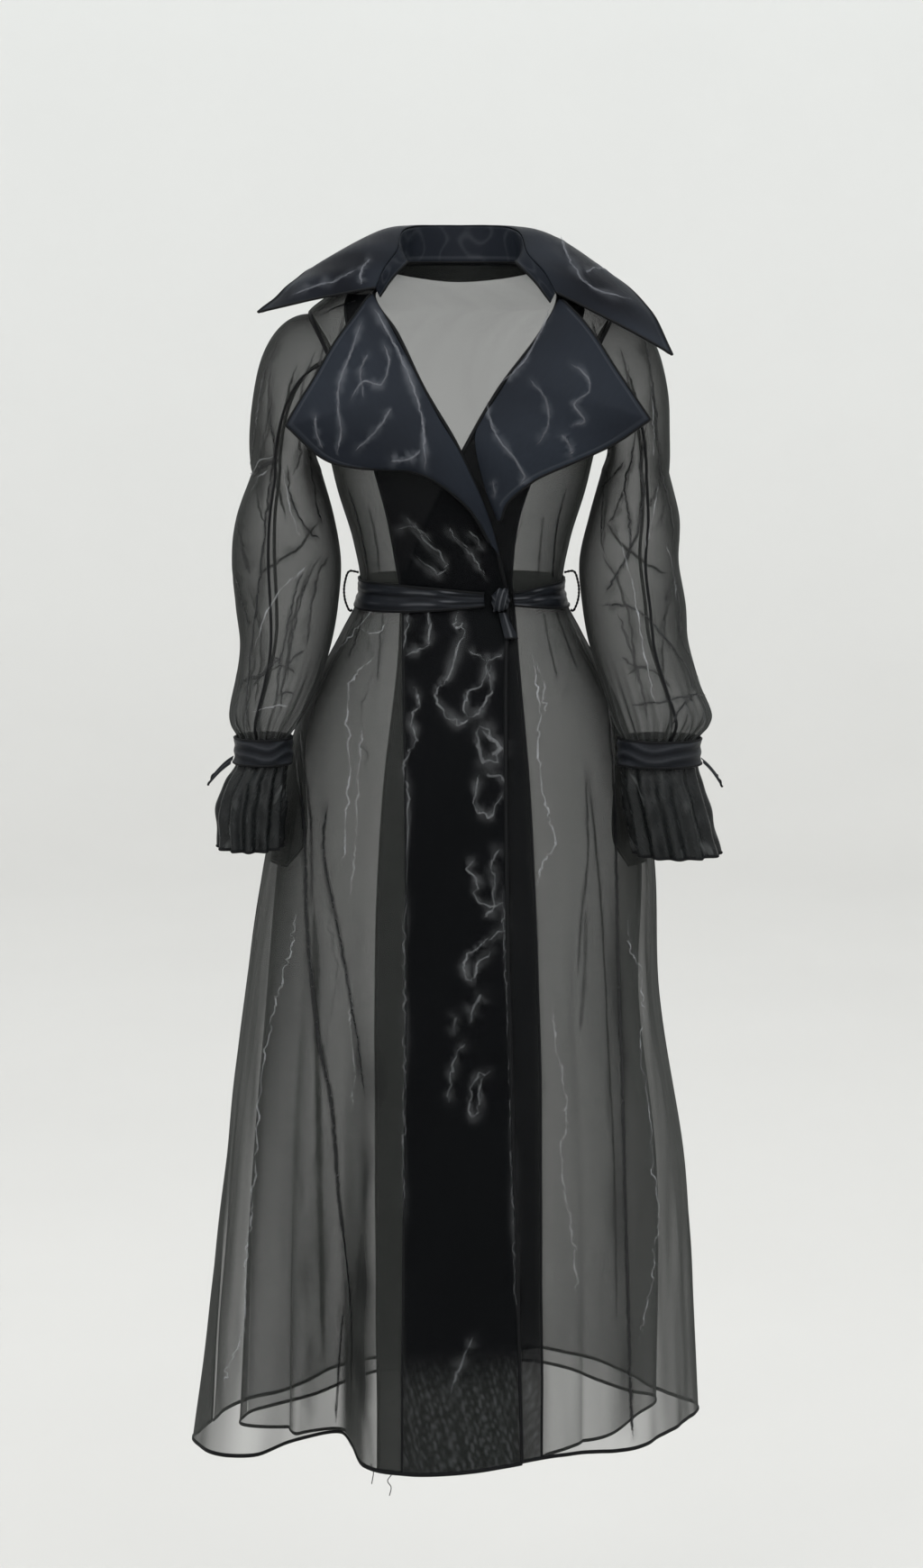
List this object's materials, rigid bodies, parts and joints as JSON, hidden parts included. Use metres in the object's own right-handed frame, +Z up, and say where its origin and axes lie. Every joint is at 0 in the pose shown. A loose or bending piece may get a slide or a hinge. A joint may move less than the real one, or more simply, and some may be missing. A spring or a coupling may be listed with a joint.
{
  "type": "coat",
  "caption": "Long sheer wrap coat, hollow as worn, with wide opaque lapels, a pointed collar, full sleeves strapped at the wrist and a tied belt.",
  "frame": {"origin": "midway between the two points where the shoulder seams meet the neck, on the wearer's shoulder line", "axes": "+Z up, -Y to the coat's front, +X to the wearer's left"},
  "size_m": [0.6029, 0.471, 1.388],
  "materials": {
    "sheer_cloth": "sheer, crisp plain weave with a faint sheen",
    "opaque_cloth": "doubled and interfaced sheer cloth, satin",
    "belt_cloth": "doubled sheer cloth, crumpled",
    "thread": "twisted thread"
  },
  "bodies": {
    "root": {"front_right": "sheer_cloth", "front_left": "sheer_cloth", "back": "sheer_cloth", "facing_right": "sheer_cloth", "facing_left": "sheer_cloth", "lining_right": "sheer_cloth", "lining_left": "sheer_cloth", "lining_back": "sheer_cloth", "pocket_right": "sheer_cloth", "pocket_left": "sheer_cloth", "sleeve_right_outer": "sheer_cloth", "sleeve_right_under": "sheer_cloth", "sleeve_left_outer": "sheer_cloth", "sleeve_left_under": "sheer_cloth", "cuff_right": "opaque_cloth", "cuff_left": "opaque_cloth", "strap_right": "opaque_cloth", "strap_left": "opaque_cloth", "strap_tail_right": "opaque_cloth", "strap_tail_left": "opaque_cloth", "lapel_right": "opaque_cloth", "lapel_left": "opaque_cloth", "collar_stand": "opaque_cloth", "collar_fall": "opaque_cloth", "belt": "belt_cloth", "belt_knot": "belt_cloth", "belt_tail": "belt_cloth", "belt_loop_right": "thread", "belt_loop_left": "thread"}
  },
  "joints": []
}
